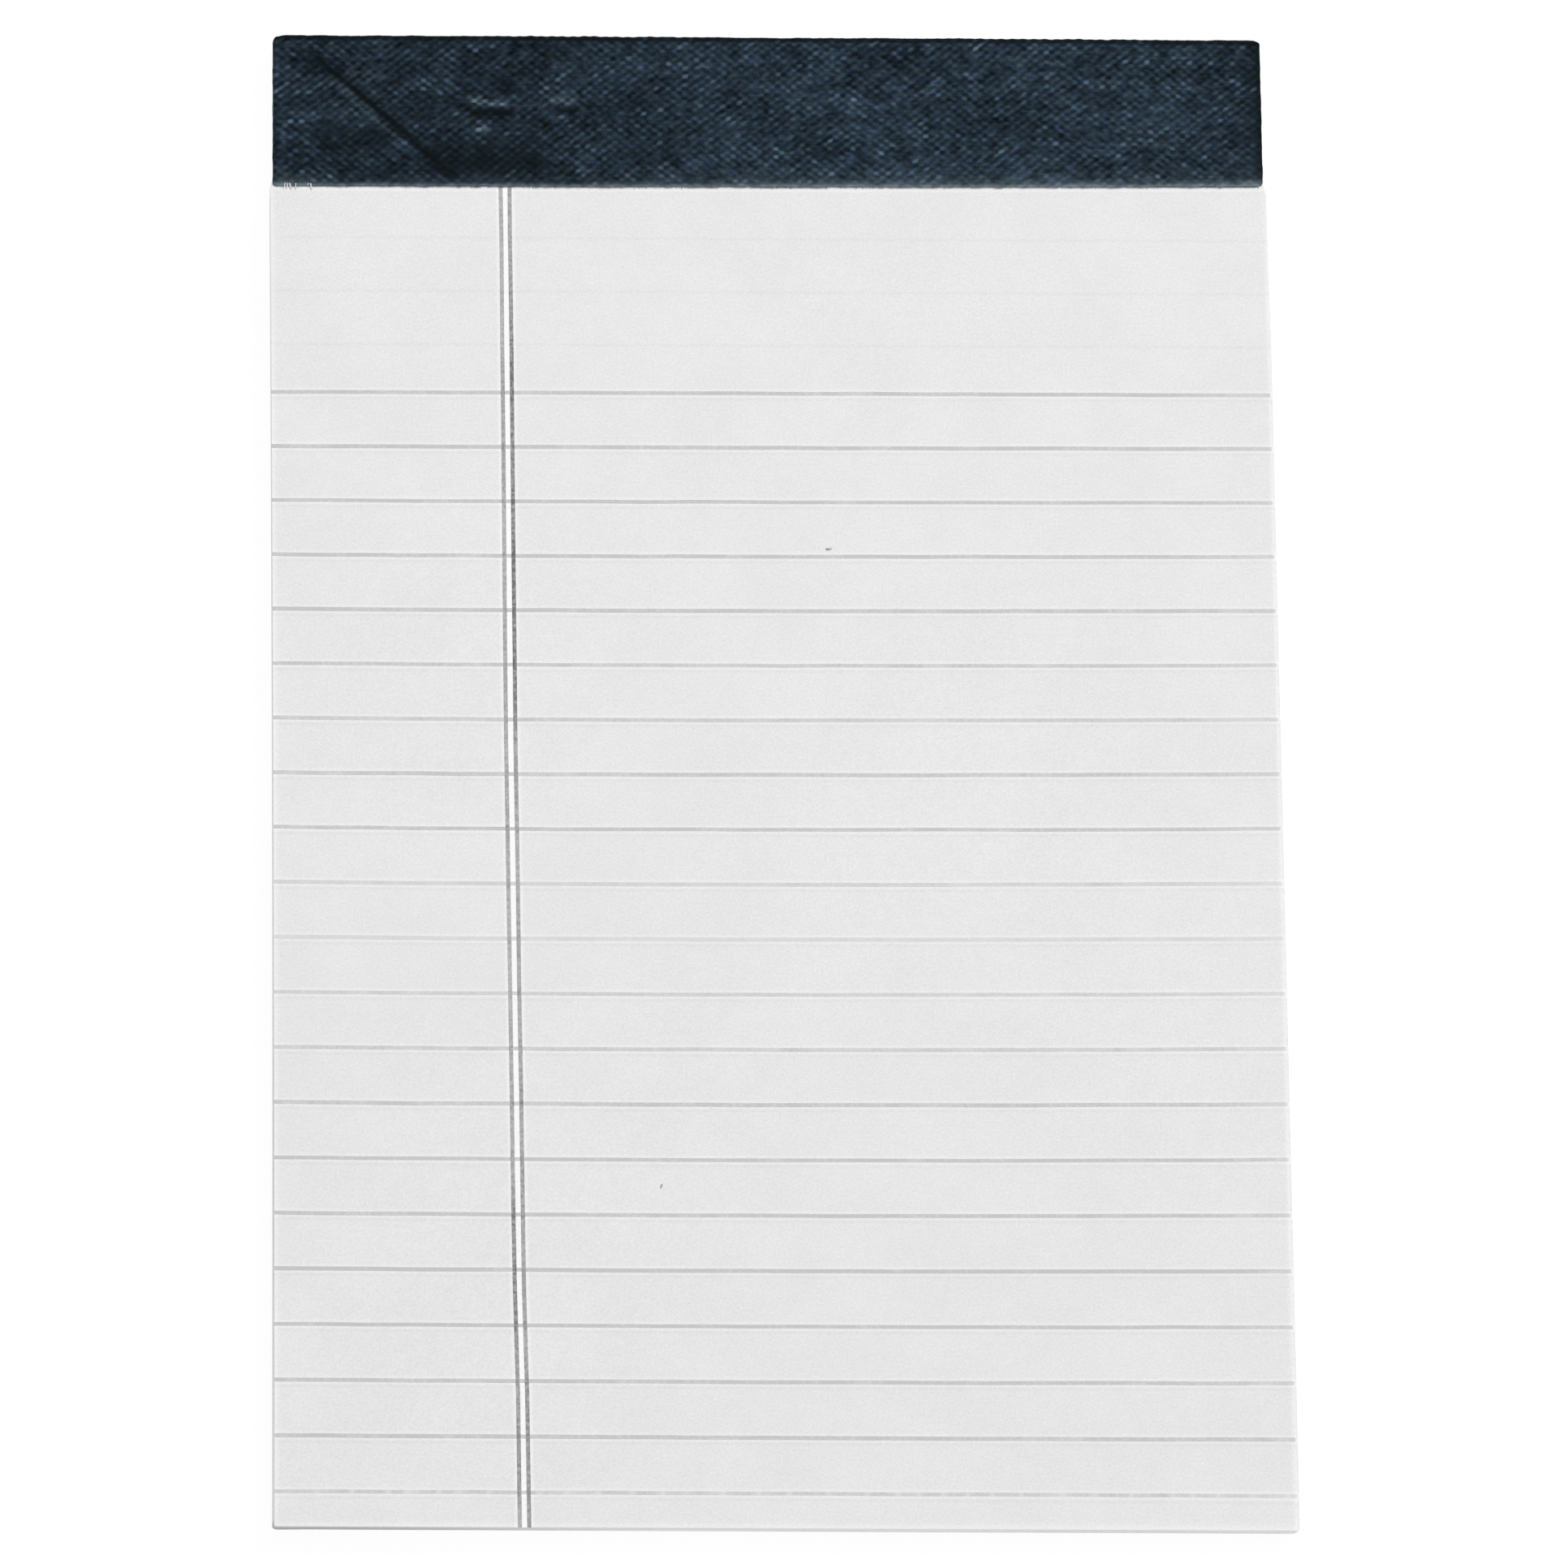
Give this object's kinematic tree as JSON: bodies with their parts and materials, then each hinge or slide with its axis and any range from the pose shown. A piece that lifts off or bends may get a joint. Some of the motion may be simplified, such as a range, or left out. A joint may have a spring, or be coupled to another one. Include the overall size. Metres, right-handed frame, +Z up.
{
  "type": "legal pad",
  "caption": "Ruled white legal pad with a double margin line, wire-stitched at the head through a chipboard back and bound with dark blue cloth tape",
  "frame": {"origin": "under the middle of the whole pad, on the surface it lies on", "axes": "+Z up out of the top sheet, +Y along the pad towards the taped head, +X to the reader's right, away from the margin"},
  "size_m": [0.13, 0.195, 0.0053],
  "materials": {
    "paper": "matt uncoated writing paper",
    "cloth_tape": "dark blue woven book cloth",
    "rule_ink": "pale grey printed rule on paper",
    "margin_ink": "grey printed margin rule on paper",
    "chipboard": "raw light grey chipboard",
    "stitching_wire": "galvanised steel wire"
  },
  "bodies": {
    "root": {"page_block": "paper", "binding_tape": "cloth_tape", "rule_lines": "rule_ink", "margin_lines": "margin_ink", "backing_board": "chipboard", "wire_stitches": "stitching_wire"}
  },
  "joints": []
}
